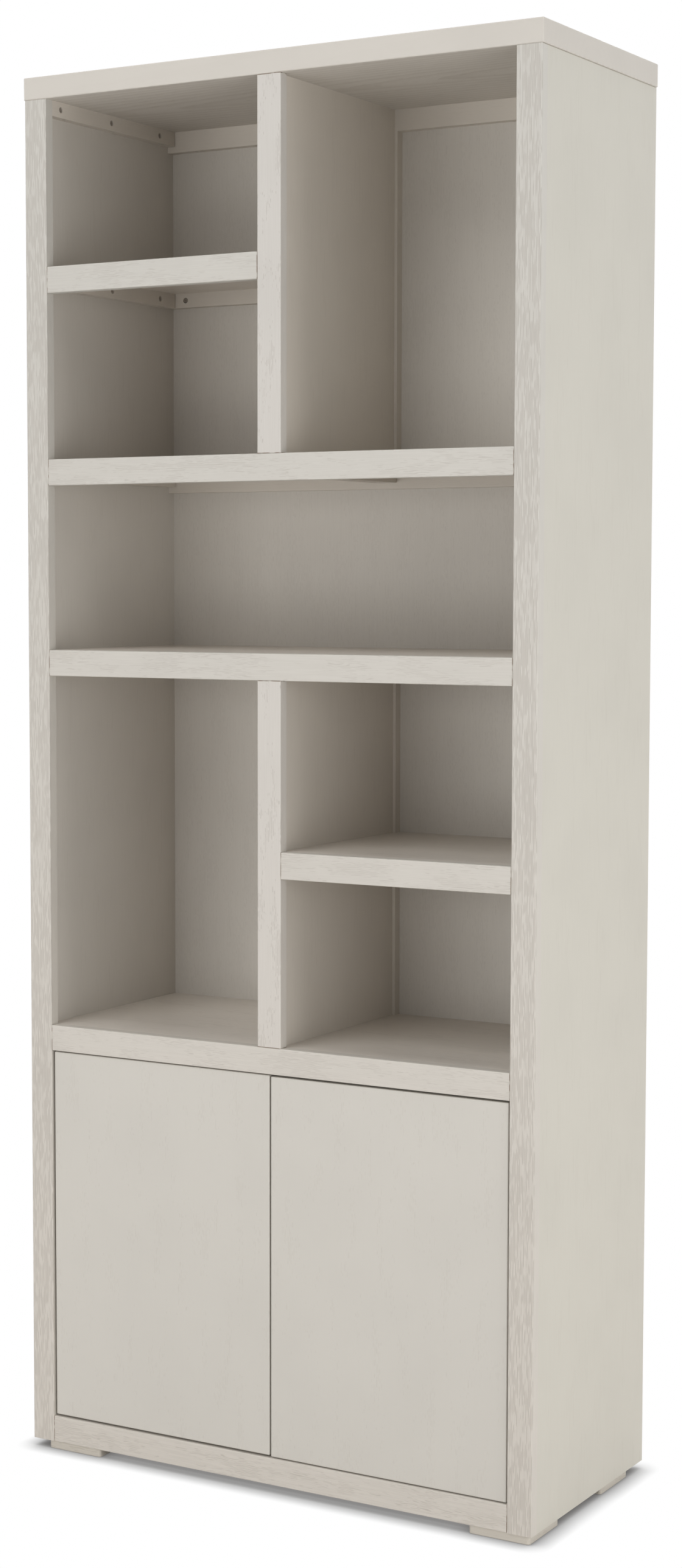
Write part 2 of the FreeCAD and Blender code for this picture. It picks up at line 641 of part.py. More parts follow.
def inner_shelf():
    edge = SIDE_INNER - INNER_SHELF_PLAY
    top = CABINET_FLOOR + INNER_SHELF_LEVEL
    front = FRONT + INNER_SHELF_FRONT_INSET
    shelf = block(-edge, edge, front, BACK_FACE - INNER_SHELF_PLAY, top - INNER_SHELF_THICKNESS, top)
    return eased_front(shelf, X_AXIS, EDGE_ARRIS)


def shelf_pins():
    pins = []
    for side in (-1, 1):
        for pin_y in (SHELF_PIN_FRONT, SHELF_PIN_REAR):
            end = FreeCAD.Vector(side * (SIDE_INNER - SHELF_PIN_REACH), FRONT + pin_y, SHELF_PIN_LEVEL)
            length = SHELF_PIN_REACH + SHELF_PIN_IN_SIDE
            pins.append(Part.makeCylinder(SHELF_PIN_RADIUS, length, end, X_AXIS * side))
    return pins


# Assembly


def case_pieces():
    """The panels and solid edges of the case, as lists of solids by node name."""
    upper_batten = back_batten(UPPER_SHELF, CASE_TOP - REAR_CLEAT_HEIGHT)
    lower_batten = back_batten(CABINET_TOP, MIDDLE_SHELF - BOARD_THICKNESS - REAR_CLEAT_HEIGHT)
    upper_left_board = shelf_board(-SIDE_INNER, -DIVIDER_FACE, UPPER_LEFT_SHELF).cut(upper_batten)
    lower_right_board = shelf_board(DIVIDER_FACE, SIDE_INNER, LOWER_RIGHT_SHELF).cut(lower_batten)
    rail = SHELF_RAIL_HEIGHT
    pieces = {
        "top_panel": [top_panel()],
        "left_stile": [mirrored(right_stile())],
        "right_stile": [right_stile()],
        "left_side_panel": [mirrored(right_side_panel())],
        "right_side_panel": [right_side_panel()],
        "back_panel": [back_panel()],
        "bottom_panel": [bottom_panel()],
        "bottom_rail": [front_rail(-STILE_INNER, STILE_INNER, CABINET_FLOOR, BOTTOM_RAIL_HEIGHT)],
        "bottom_runners": [mirrored(right_bottom_runner()), right_bottom_runner()],
        "upper_divider_panel": [divider_panel(UPPER_SHELF, CASE_TOP)],
        "upper_divider_stile": [divider_stile(UPPER_SHELF, CASE_TOP)],
        "lower_divider_panel": [divider_panel(CABINET_TOP, MIDDLE_SHELF - BOARD_THICKNESS)],
        "lower_divider_stile": [divider_stile(CABINET_TOP, MIDDLE_SHELF - rail)],
        "upper_back_batten": [upper_batten],
        "lower_back_batten": [lower_batten],
        "upper_left_shelf_board": upper_left_board.Solids,
        "upper_left_shelf_rail": [front_rail(-STILE_INNER, -DIVIDER_STILE_FACE, UPPER_LEFT_SHELF, rail)],
        "lower_right_shelf_board": lower_right_board.Solids,
        "lower_right_shelf_rail": [front_rail(DIVIDER_STILE_FACE, STILE_INNER, LOWER_RIGHT_SHELF, rail)],
        "inner_shelf": [inner_shelf()],
        "shelf_pins": shelf_pins(),
        "latch_housings": [mirrored(latch_housing()), latch_housing()],
        "hinge_blocks": hinge_blocks(-1) + hinge_blocks(1),
        "left_hinge_arms": at_hinges(hinge_arm(), -1),
        "right_hinge_arms": at_hinges(hinge_arm(), 1),
    }
    full_shelves = {"upper_shelf": UPPER_SHELF, "middle_shelf": MIDDLE_SHELF, "cabinet_top": CABINET_TOP}
    for name, level in full_shelves.items():
        pieces[name + "_board"] = [shelf_board(-SIDE_INNER, SIDE_INNER, level)]
        pieces[name + "_rail"] = [front_rail(-STILE_INNER, STILE_INNER, level, rail)]
    for from_left, side_name in ((True, "left"), (False, "right")):
        for at_front, end_name in ((True, "front"), (False, "rear")):
            pieces[end_name + "_" + side_name + "_foot"] = [foot(from_left, at_front)]
    return pieces


def cleat_pieces():
    """The cleats and braces by node name, and the screws that hold them."""
    walls = {
        "full": ((-SIDE_INNER, 1), (SIDE_INNER, -1)),
        "left": ((-SIDE_INNER, 1), (-DIVIDER_FACE, -1)),
        "right": ((DIVIDER_FACE, 1), (SIDE_INNER, -1)),
    }
    rear_ends = {
        "full": (-SIDE_INNER, SIDE_INNER),
        "left": (-SIDE_INNER, -BATTEN_WIDTH / 2),
        "right": (BATTEN_WIDTH / 2, SIDE_INNER),
    }
    carried = (
        ("top", CASE_TOP, "full", False),
        ("upper_left_shelf", UPPER_LEFT_SHELF - BOARD_THICKNESS, "left", False),
        ("upper_shelf", UPPER_SHELF - BOARD_THICKNESS, "full", True),
        ("middle_shelf", MIDDLE_SHELF - BOARD_THICKNESS, "full", False),
        ("lower_right_shelf", LOWER_RIGHT_SHELF - BOARD_THICKNESS, "right", False),
        ("cabinet_top", CABINET_TOP - BOARD_THICKNESS, "full", True),
    )
    pieces = {}
    screws = []
    for name, top, span, has_brace in carried:
        pieces[name + "_side_cleats"] = [side_cleat(wall_x, into, top) for wall_x, into in walls[span]]
        for wall_x, into in walls[span]:
            screws += side_cleat_screws(wall_x, into, top)
        x0, x1 = rear_ends[span]
        height = REAR_CLEAT_HEIGHT if span == "full" else SIDE_CLEAT_HEIGHT
        pieces[name + "_rear_cleat"] = [rear_cleat(x0, x1, top, height)]
        screws += long_rear_cleat_screws(top) if span == "full" else short_rear_cleat_screws(x0, x1, top)
        if has_brace:
            pieces[name + "_brace"] = [brace(top)]
            screws += brace_screws(top)
    return pieces, screws


def door_pieces():
    """Each door with its hinge cups and pins, and each latch plunger, by node name."""
    pieces = {
        "left_latch_plunger": [mirrored(latch_plunger())],
        "right_latch_plunger": [latch_plunger()],
    }
    for side, side_name in ((-1, "left"), (1, "right")):
        pieces[side_name + "_door"] = [door(side)]
        pieces[side_name + "_hinge_cups"] = at_hinges(hinge_cup(), side)
        pieces[side_name + "_hinge_pins"] = at_hinges(hinge_pin(), side)
    return pieces


def assembly():
    """Every node's solids, with the case drilled for its screws."""
    pieces, carcass_screws = cleat_pieces()
    pieces.update(case_pieces())
    for from_left in (True, False):
        for at_front in (True, False):
            carcass_screws += foot_screws(from_left, at_front)
    carcass_screws += back_screws()
    hardware_screws = []
    for side in (-1, 1):
        hardware_screws += hinge_screws(side) + latch_screws(side)
    holes = [screw_hole(screw) for screw in carcass_screws + hardware_screws]
    for name, solids in pieces.items():
        pieces[name] = [drilled(solid, holes) for solid in solids]
    pieces["carcass_screws"] = screw_solids(carcass_screws)
    pieces["hardware_screws"] = screw_solids(hardware_screws)
    pieces.update(door_pieces())
    return pieces


def main():
    os.makedirs("parts", exist_ok=True)
    pieces = assembly()
    for name, solids in sorted(pieces.items()):
        shape = solids[0] if len(solids) == 1 else Part.makeCompound(solids)
        shape.exportStep("parts/" + name + ".step")
        print(name, len(solids), "valid" if shape.isValid() else "INVALID", round(shape.Volume, 1))
    print("nodes:", len(pieces))


if __name__ == "__main__":
    main()
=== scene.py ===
# %% [markdown]
# # A tall bookcase with cabinet doors
#
# The bookcase is made of pale painted oak: solid edges in front of thin boards and panels, open niches
# above and two plain doors below. The CAD frame holds every board, door, hinge and latch at its real size.
# This lesson dresses that frame. It sets up the studio, builds the painted oak finishes from shader node
# groups, and makes the screws with Geometry Nodes.

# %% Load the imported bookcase
import math
from collections import namedtuple

import bmesh
import bpy
from mathutils import Matrix, Vector


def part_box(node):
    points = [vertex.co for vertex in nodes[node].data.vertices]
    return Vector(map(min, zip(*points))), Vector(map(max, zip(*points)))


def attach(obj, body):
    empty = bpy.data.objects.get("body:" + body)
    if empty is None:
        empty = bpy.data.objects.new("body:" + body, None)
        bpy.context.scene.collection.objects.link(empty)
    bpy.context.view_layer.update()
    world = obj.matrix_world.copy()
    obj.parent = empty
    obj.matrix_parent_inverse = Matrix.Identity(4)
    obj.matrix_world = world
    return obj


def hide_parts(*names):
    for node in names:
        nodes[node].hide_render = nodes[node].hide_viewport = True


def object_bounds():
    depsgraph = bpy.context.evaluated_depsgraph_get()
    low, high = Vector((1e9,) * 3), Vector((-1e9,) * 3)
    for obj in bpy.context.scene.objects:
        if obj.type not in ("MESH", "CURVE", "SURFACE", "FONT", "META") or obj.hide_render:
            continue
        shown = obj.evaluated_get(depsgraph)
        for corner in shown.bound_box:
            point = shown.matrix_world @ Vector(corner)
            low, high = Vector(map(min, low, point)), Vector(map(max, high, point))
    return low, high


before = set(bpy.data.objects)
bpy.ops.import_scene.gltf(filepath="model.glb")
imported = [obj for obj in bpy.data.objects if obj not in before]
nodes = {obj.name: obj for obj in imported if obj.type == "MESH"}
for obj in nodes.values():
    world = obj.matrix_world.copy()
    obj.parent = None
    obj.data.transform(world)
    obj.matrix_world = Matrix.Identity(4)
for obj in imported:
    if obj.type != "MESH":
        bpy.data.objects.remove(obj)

cad_low, cad_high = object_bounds()
print("nodes:", len(nodes), "size:", [round(side, 3) for side in cad_high - cad_low])

# %% [markdown]
# ## The camera
#
# The view is a three-quarter one from the right, from about chest height. A wide lens from close by would
# make the uprights lean together, so a long lens keeps them nearly parallel. The upright format takes the
# sensor's long side for its height. A small sideways shift places the object in the frame. Turning the
# camera would do that too, but it would also change the slant of the shelves.

# %% Camera
CAMERA_PLACE = (2.090, -3.652, 1.409)
CAMERA_TURN = math.radians(31.01)
CAMERA_TILT = math.radians(-4.375)
CAMERA_LENS = 61.24
CAMERA_SHIFT = 0.04
SENSOR_SIZE = 36.0

scene = bpy.context.scene
camera_data = bpy.data.cameras.new("camera")
camera_data.lens = CAMERA_LENS
camera_data.sensor_width = SENSOR_SIZE
camera_data.shift_x = CAMERA_SHIFT
camera = bpy.data.objects.new("camera", camera_data)
camera.location = CAMERA_PLACE
camera.rotation_euler = (math.pi / 2 + CAMERA_TILT, 0, CAMERA_TURN)
scene.collection.objects.link(camera)
scene.camera = camera
scene.view_settings.view_transform = "Standard"
print("camera lens:", camera_data.lens, "mm")

# %% [markdown]
# ## Helpers for node trees
#
# Every finish is a node tree. Written out in full, a tree is a long list of nodes and links that hides
# what it does. So a few helpers make one node each, with its inputs, and hand back its result. An input
# takes either a plain value or another node's output.

# %% Node helpers


def feed(tree, source, socket):
    """Links an output to a socket, or writes a plain value into it."""
    if isinstance(source, bpy.types.NodeSocket):
        tree.links.new(source, socket)
    else:
        socket.default_value = source


def add_node(tree, kind, inputs=None, **settings):
    """A node with its settings, and its inputs by name."""
    node = tree.nodes.new(kind)
    for name, value in settings.items():
        setattr(node, name, value)
    for name, source in (inputs or {}).items():
        feed(tree, source, node.inputs[name])
    return node


def calculate(tree, operation, *sources, clamp=False):
    """The result of one Math node."""
    node = add_node(tree, "ShaderNodeMath", operation=operation, use_clamp=clamp)
    for socket, source in zip(node.inputs, sources):
        feed(tree, source, socket)
    return node.outputs["Value"]


def calculate_vector(tree, operation, *sources):
    """The result of one Vector Math node."""
    node = add_node(tree, "ShaderNodeVectorMath", operation=operation)
    for socket, source in zip(node.inputs, sources):
        feed(tree, source, socket)
    return node.outputs["Vector"]


def stepped(tree, value, low, high, to_low=0.0, to_high=1.0):
    """Eases a value from to_low to to_high while it goes from low to high."""
    ranges = {"Value": value, "From Min": low, "From Max": high, "To Min": to_low, "To Max": to_high}
    return add_node(tree, "ShaderNodeMapRange", ranges, interpolation_type="SMOOTHSTEP").outputs["Result"]


def noise_at(tree, vector, scale=1.0, detail=1.0):
    """Smooth noise at a place: its outputs Fac and Color."""
    return add_node(tree, "ShaderNodeTexNoise", {"Vector": vector, "Scale": scale, "Detail": detail}).outputs


print("node helpers ready")

# %% [markdown]
# ## Helpers for colours and groups
#
# Paint colours are easiest to write as display values from 0 to 255, but nodes take linear light, so one
# helper converts them. Another opens an empty node group with its sockets. A pattern could be built anew
# in every finish. In a group it is built once, and each finish only gives it other values.

# %% Colour and group helpers


def mixed_colour(tree, factor, first, second, blend="MIX"):
    """Mixes two colours. A Mix node has sockets for each type of data: colours go in at 6 and 7."""
    node = add_node(tree, "ShaderNodeMix", data_type="RGBA", blend_type=blend)
    feed(tree, factor, node.inputs[0])
    feed(tree, first, node.inputs[6])
    feed(tree, second, node.inputs[7])
    return node.outputs[2]


def srgb(red, green, blue):
    """A colour in display values from 0 to 255, as the linear colour that nodes take, by the sRGB curve."""
    linear = []
    for value in (red, green, blue):
        share = value / 255
        linear.append(share / 12.92 if share <= 0.04045 else ((share + 0.055) / 1.055) ** 2.4)
    return (*linear, 1.0)


def empty_group(name, inputs, outputs):
    """A shader node group with its sockets: the tree, what it is given and what it puts out."""
    tree = bpy.data.node_groups.new(name, "ShaderNodeTree")
    kinds = {"value": "NodeSocketFloat", "vector": "NodeSocketVector"}
    for socket_name, (kind, default) in inputs.items():
        socket = tree.interface.new_socket(socket_name, in_out="INPUT", socket_type=kinds[kind])
        if default is not None:
            socket.default_value = default
    for socket_name, kind in outputs.items():
        tree.interface.new_socket(socket_name, in_out="OUTPUT", socket_type=kinds[kind])
    entry = tree.nodes.new("NodeGroupInput")
    leaving = tree.nodes.new("NodeGroupOutput")
    return tree, entry.outputs, leaving.inputs


print("colour and group helpers ready")

# %% [markdown]
# ## The studio
#
# The bookcase stands before a white background with no horizon. Strong white light from all sides would
# give that, but it would flatten the niches and burn out the paint. So the world is plain white only where
# it is seen, straight or in a reflection, and gives the object no more than weak even light.

# %% World
WHITE = (1.0, 1.0, 1.0, 1.0)
AMBIENT = 0.12


def seen_directly(tree):
    """1 for rays that the viewer sees: straight, in a reflection or through glass."""
    path = add_node(tree, "ShaderNodeLightPath").outputs
    straight = calculate(tree, "MAXIMUM", path["Is Camera Ray"], path["Is Glossy Ray"])
    return calculate(tree, "MAXIMUM", straight, path["Is Transmission Ray"])


def studio_world():
    """A world that is white where it is seen and weak where it gives light."""
    world = bpy.data.worlds.new("studio")
    scene.world = world
    world.use_nodes = True
    tree = world.node_tree
    tree.nodes.clear()
    strength = stepped(tree, seen_directly(tree), 0.0, 1.0, AMBIENT, 1.0)
    background = add_node(tree, "ShaderNodeBackground", {"Color": WHITE, "Strength": strength})
    output = add_node(tree, "ShaderNodeOutputWorld")
    tree.links.new(background.outputs["Background"], output.inputs["Surface"])


studio_world()
print("world:", scene.world.name)

# %% [markdown]
# ## The floor
#
# The floor runs into the background, with only a soft shadow round the feet. A floor lit to pure white
# would need too much light, so it answers rays in two ways. Rays that are seen find plain white, darkened
# only under the case and where the object comes close. All others find a matt surface that gives back the
# light on it.

# %% Floor
FLOOR_SIZE = 40.0
FLOOR_BOUNCE = (0.78, 0.756, 0.736, 1.0)
SHADOW_REACH = 0.034
SHADOW_DEPTH = 1.5
SHADOW_SAMPLES = 16
SHADOW_COLOUR = (0.12, 0.115, 0.11, 1.0)
UNDER_CASE = 0.22
UNDER_EDGE = (-0.03, 0.004)


def floor_material():
    """White where it is seen, and matt for other rays. A Mix Shader takes its two shaders at 1 and 2."""
    material = bpy.data.materials.new("white_floor")
    material.use_nodes = True
    tree = material.node_tree
    tree.nodes.clear()
    lit = add_node(tree, "ShaderNodeBsdfDiffuse", {"Color": FLOOR_BOUNCE})
    near = add_node(tree, "ShaderNodeAmbientOcclusion", {"Distance": SHADOW_REACH}, samples=SHADOW_SAMPLES)
    contact = calculate(tree, "POWER", near.outputs["AO"], SHADOW_DEPTH)
    place = add_node(tree, "ShaderNodeTexCoord").outputs["Object"]
    beyond = calculate_vector(tree, "SUBTRACT", calculate_vector(tree, "ABSOLUTE", place), cad_high)
    sides = add_node(tree, "ShaderNodeSeparateXYZ", {"Vector": beyond}).outputs
    outside = calculate(tree, "MAXIMUM", sides["X"], sides["Y"])
    under = stepped(tree, outside, *UNDER_EDGE, UNDER_CASE, 1.0)
    light = calculate(tree, "MULTIPLY", contact, under)
    shown = mixed_colour(tree, light, SHADOW_COLOUR, WHITE)
    white = add_node(tree, "ShaderNodeEmission", {"Color": shown, "Strength": 1.0})
    choice = add_node(tree, "ShaderNodeMixShader", {"Fac": seen_directly(tree)})
    tree.links.new(lit.outputs["BSDF"], choice.inputs[1])
    tree.links.new(white.outputs["Emission"], choice.inputs[2])
    output = add_node(tree, "ShaderNodeOutputMaterial")
    tree.links.new(choice.outputs["Shader"], output.inputs["Surface"])
    return material


def studio_floor():
    """One large flat face that belongs to the stage, not to the bookcase."""
    mesh = bpy.data.meshes.new("floor")
    half = FLOOR_SIZE / 2
    corners = [(-half, -half, 0), (half, -half, 0), (half, half, 0), (-half, half, 0)]
    mesh.from_pydata(corners, [], [(0, 1, 2, 3)])
    mesh.materials.append(floor_material())
    floor = bpy.data.objects.new("floor", mesh)
    scene.collection.objects.link(floor)


studio_floor()
print("floor:", FLOOR_SIZE, "m wide")

# %% [markdown]
# ## The lamps
#
# Light has to reach deep into the niches and still leave them darker toward the back. One small lamp would
# give hard shadows, so large soft boxes share the work. One from the right lights the outer side, one from
# the corner reaches along the inner walls, one from the front reaches the back, and one from high in front
# lights the shelves near their edges. One straight above and two behind light the sides that this view
# doesn't show. Each lamp's share is the part of a full exposure that it gives to a surface that faces it.

# %% Lamps
AIM = Vector((0.0, 0.0, 1.1))
LAMP_DISTANCE = 4.5


def soft_box(name, azimuth, elevation, width, height, share):
    """A large area lamp. Azimuth 0 is in front of the doors, and 90 is on the right."""
    data = bpy.data.lights.new(name, "AREA")
    data.shape = "RECTANGLE"
    data.size = width
    data.size_y = height
    data.energy = share * math.pi ** 2 * LAMP_DISTANCE ** 2
    lamp = bpy.data.objects.new(name, data)
    turn = math.radians(azimuth)
    rise = math.radians(elevation)
    away = Vector((math.sin(turn) * math.cos(rise), -math.cos(turn) * math.cos(rise), math.sin(rise)))
    lamp.location = AIM + away * LAMP_DISTANCE
    lamp.rotation_euler = away.to_track_quat("Z", "Y").to_euler()
    scene.collection.objects.link(lamp)


soft_box("side_soft_box", azimuth=90, elevation=12, width=2.4, height=3.0, share=0.33)
soft_box("corner_soft_box", azimuth=64, elevation=-2, width=3.2, height=2.4, share=0.33)
soft_box("front_soft_box", azimuth=-10, elevation=-1, width=3.0, height=2.0, share=0.33)
soft_box("top_soft_box", azimuth=-15, elevation=48, width=2.8, height=2.4, share=0.34)
soft_box("overhead_soft_box", azimuth=0, elevation=88, width=2.4, height=1.8, share=0.30)
soft_box("left_rear_soft_box", azimuth=-125, elevation=20, width=2.4, height=2.4, share=0.40)
soft_box("rear_soft_box", azimuth=-178, elevation=25, width=2.4, height=2.4, share=0.33)

# %% [markdown]
# ## Open oak grain
#
# Oak has long pores that lie in rows. The paint is thin, so the pores stay open and read as fine dark
# dashes. Noise cut off at a level gives blots, not dashes. So they are built up as in the tree: rings
# round a distant heart give the rows, noise along each row breaks it into dashes, slow noise makes patches
# with more or fewer of them, and two drifts keep the rows from being straight.

# %% Parts of the grain
NOISE_MEAN = 0.5
ROW_MIDDLE = 0.5
DRIFT_PACE = (7.0, 7.0, 1.6)
RIPPLE_PACE = (150.0, 150.0, 30.0)
PATCH_PACE = (45.0, 45.0, 9.0)
PORE_EDGE = (0.1, 0.9)
ROW_STEP = 5.37
GAP_EDGE = (-0.04, 0.12)
DASH_LEVEL = 0.72
DASH_SPAN = 0.44


def moved(tree, vector, pace, reach):
    """A vector pushed aside by noise of the given pace, by up to about half the reach."""
    drift = noise_at(tree, calculate_vector(tree, "MULTIPLY", vector, pace))["Color"]
    centred = calculate_vector(tree, "SUBTRACT", drift, (NOISE_MEAN, NOISE_MEAN, NOISE_MEAN))
    scaled = add_node(tree, "ShaderNodeVectorMath", {"Scale": reach}, operation="SCALE")
    feed(tree, centred, scaled.inputs[0])
    return calculate_vector(tree, "ADD", vector, scaled.outputs["Vector"])


def from_heart(tree, vector):
    """The distance from the heart of the tree, and the place along it."""
    parts = add_node(tree, "ShaderNodeSeparateXYZ", {"Vector": vector}).outputs
    squares = [calculate(tree, "POWER", parts[axis], 2.0) for axis in ("X", "Y")]
    return calculate(tree, "SQRT", calculate(tree, "ADD", *squares)), parts["Z"]


def dash_limit(tree, given):
    """The noise level above which a row shows a dash, higher where a patch has few."""
    patch = noise_at(tree, calculate_vector(tree, "MULTIPLY", given["Vector"], PATCH_PACE))["Fac"]
    uneven = calculate(tree, "SUBTRACT", patch, NOISE_MEAN)
    shift = calculate(tree, "MULTIPLY", uneven, given["Patchiness"])
    lowered = calculate(tree, "MULTIPLY", given["Porosity"], DASH_SPAN)
    return calculate(tree, "ADD", calculate(tree, "SUBTRACT", DASH_LEVEL, lowered), shift)


def pore_dashes(tree, given, distance, along):
    """1 in the middle of a pore, 0 between pores. The noise starts anew in every row."""
    rows = calculate(tree, "DIVIDE", distance, given["Row Spacing"])
    from_middle = calculate(tree, "SUBTRACT", calculate(tree, "FRACT", rows), ROW_MIDDLE)
    offset = calculate(tree, "MULTIPLY", calculate(tree, "ABSOLUTE", from_middle), given["Row Spacing"])
    inner, outer = [calculate(tree, "MULTIPLY", given["Pore Width"], share) for share in PORE_EDGE]
    thin = stepped(tree, offset, inner, outer, 1.0, 0.0)
    row_place = add_node(tree, "ShaderNodeCombineXYZ", {
        "X": calculate(tree, "MULTIPLY", calculate(tree, "FLOOR", rows), ROW_STEP),
        "Z": calculate(tree, "DIVIDE", along, given["Pore Length"])})
    gaps = noise_at(tree, row_place.outputs["Vector"])["Fac"]
    limit = dash_limit(tree, given)
    start, full = [calculate(tree, "ADD", limit, edge) for edge in GAP_EDGE]
    return calculate(tree, "MULTIPLY", thin, stepped(tree, gaps, start, full))


print("parts of the grain ready")

# %% [markdown]
# ## The oak grain group
#
# Three marks make up the look of oak: the pores, fine streaks of fibre, and the wide figure of the rings.
# Each finish could have nodes of its own for them, but then a change would have to be made many times. So
# one group puts out all three as values, and a finish decides how strongly they show. The vector that goes
# in has the grain along Z.

# %% Oak grain group
FIBRE_SIZE = (0.0012, 0.0012, 0.06)
FIBRE_EDGE = (0.35, 0.65)
RING_EDGE = (0.35, 1.0)


def oak_grain_group():
    """The three marks of oak as values from 0 to 1."""
    inputs = {
        "Vector": ("vector", None),
        "Row Spacing": ("value", 0.0026),
        "Pore Width": ("value", 0.0011),
        "Pore Length": ("value", 0.014),
        "Porosity": ("value", 0.3),
        "Patchiness": ("value", 1.0),
        "Ripple": ("value", 0.005),
        "Wander": ("value", 0.012),
        "Ring Width": ("value", 0.014),
    }
    outputs = {"Pores": "value", "Fibre": "value", "Figure": "value"}
    tree, given, result = empty_group("open_oak_grain", inputs, outputs)
    wandering = moved(tree, given["Vector"], DRIFT_PACE, given["Wander"])
    rippled = moved(tree, wandering, RIPPLE_PACE, given["Ripple"])
    distance, along = from_heart(tree, rippled)
    feed(tree, pore_dashes(tree, given, distance, along), result["Pores"])
    fibre = noise_at(tree, calculate_vector(tree, "DIVIDE", wandering, FIBRE_SIZE))["Fac"]
    feed(tree, stepped(tree, fibre, *FIBRE_EDGE), result["Fibre"])
    ring = calculate(tree, "FRACT", calculate(tree, "DIVIDE", distance, given["Ring Width"]))
    feed(tree, stepped(tree, ring, *RING_EDGE), result["Figure"])
    return tree


OAK_GRAIN = oak_grain_group()
print("group:", OAK_GRAIN.name, "nodes:", len(OAK_GRAIN.nodes))

# %% [markdown]
# ## Joint lines
#
# Where a rail or a divider meets its neighbour, the paint has cracked along the joint and shows a thin
# brown line that comes and goes. A modelled groove would be even all along, so the line is only a colour.
# The second group finds it from the place along the piece and the piece's two ends, and noise breaks it
# up.

# %% Joint line group
CRACK_WIDTH = (0.0005, 0.0014)
CRACK_PACE = 90.0
CRACK_EDGE = (0.36, 0.56)
CRACK_LEAST = 0.25


def joint_line_group():
    """1 on a cracked joint and 0 away from it."""
    inputs = {
        "Vector": ("vector", None), "Along": ("value", 0.0), "Start": ("value", 0.0), "End": ("value", 1.0)}
    tree, given, result = empty_group("joint_lines", inputs, {"Line": "value"})
    from_start = calculate(tree, "SUBTRACT", given["Along"], given["Start"])
    from_end = calculate(tree, "SUBTRACT", given["End"], given["Along"])
    nearest = calculate(tree, "MINIMUM", from_start, from_end)
    line = stepped(tree, nearest, *CRACK_WIDTH, 1.0, 0.0)
    noise = noise_at(tree, given["Vector"], CRACK_PACE)["Fac"]
    cracked = stepped(tree, noise, *CRACK_EDGE, CRACK_LEAST, 1.0)
    feed(tree, calculate(tree, "MULTIPLY", line, cracked), result["Line"])
    return tree


JOINT_LINES = joint_line_group()
print("group:", JOINT_LINES.name)

# %% [markdown]
# ## Parts of a painted finish
#
# A painted board isn't one even colour. The paint is thinner in soft patches and cracked at the joints. On
# some pieces the colour is also a little lighter and warmer toward the floor, and that lightness is painted
# light for the bounce from the floor. A picture of wood would repeat itself on a tall piece. A pattern on
# Object coordinates runs on for as long as the piece does, so small functions build these parts from nodes.

# %% Parts of a painted finish
GRAIN_TURN = {"X": (0.0, math.pi / 2, 0.0), "Y": (math.pi / 2, 0.0, 0.0), "Z": (0.0, 0.0, 0.0)}
FACE_EDGE = (0.0007, 0.0025)
FILLED = 0.08
JOINT_BROWN = srgb(122, 106, 90)
CLOUD_PACE = 7.0
CLOUD_DETAIL = 2.0
CLOUD_EDGE = (0.35, 0.75)


def grain_vector(tree, along, heart, tilt):
    """Object coordinates turned so that the grain runs along Z, with the tree's heart moved to one side."""
    place = add_node(tree, "ShaderNodeTexCoord").outputs["Object"]
    mapping = add_node(tree, "ShaderNodeMapping", {"Vector": place})
    turn = GRAIN_TURN[along]
    mapping.inputs["Rotation"].default_value = (turn[0], turn[1] + tilt, turn[2])
    mapping.inputs["Location"].default_value = heart
    return mapping.outputs["Vector"], place


def paint_colour(tree, place, paint):
    """One paint, or two that blend from the floor to the top. The lower one is lighter, as painted light for
    the bounce from the floor.
    """
    if not isinstance(paint[0], tuple):
        return paint
    height = add_node(tree, "ShaderNodeSeparateXYZ", {"Vector": place}).outputs["Z"]
    return mixed_colour(tree, stepped(tree, height, cad_low.z, cad_high.z), *paint)


def clouded(tree, place, colour, clouds):
    """Paint that is a little thinner in soft patches."""
    noise = noise_at(tree, place, CLOUD_PACE, CLOUD_DETAIL)["Fac"]
    shade = stepped(tree, noise, *CLOUD_EDGE, 1.0, 1.0 - clouds)
    grey = add_node(tree, "ShaderNodeCombineColor", {"Red": shade, "Green": shade, "Blue": shade})
    return mixed_colour(tree, 1.0, colour, grey.outputs["Color"], blend="MULTIPLY")


def on_face(tree, place, face):
    """1 on one flat face, given by its axis and place, and the filled share on the others."""
    axis, level = face
    value = add_node(tree, "ShaderNodeSeparateXYZ", {"Vector": place}).outputs[axis]
    return stepped(tree, value, level + FACE_EDGE[0], level + FACE_EDGE[1], 1.0, FILLED)


def with_joint(tree, colour, place, joint):
    """Brown lines at both ends of a piece, given by its axis and the two ends."""
    axis, start, end = joint
    along = add_node(tree, "ShaderNodeSeparateXYZ", {"Vector": place}).outputs[axis]
    line = add_node(tree, "ShaderNodeGroup", {"Vector": place, "Along": along}, node_tree=JOINT_LINES)
    line.inputs["Start"].default_value = start
    line.inputs["End"].default_value = end
    return mixed_colour(tree, line.outputs["Line"], colour, JOINT_BROWN)


print("ways of the grain:", list(GRAIN_TURN))

# %% [markdown]
# ## Painted wood
#
# All the wood has the same kind of paint. A separate tree for every piece would let the finishes drift
# apart, so one function builds them all. What differs is the way the grain runs, how open the pores are
# and how much of them the paint fills. On the solid edges only the front shows open grain: the other faces
# were filled and sanded smooth.

# %% Painted wood
ROWS_ON_X = (3.0, 0.4, 0.0)
ROWS_ON_Y = (0.4, 3.0, 0.0)
PORE_DEPTH = 0.0004
PAINT_SPECULAR = 0.4


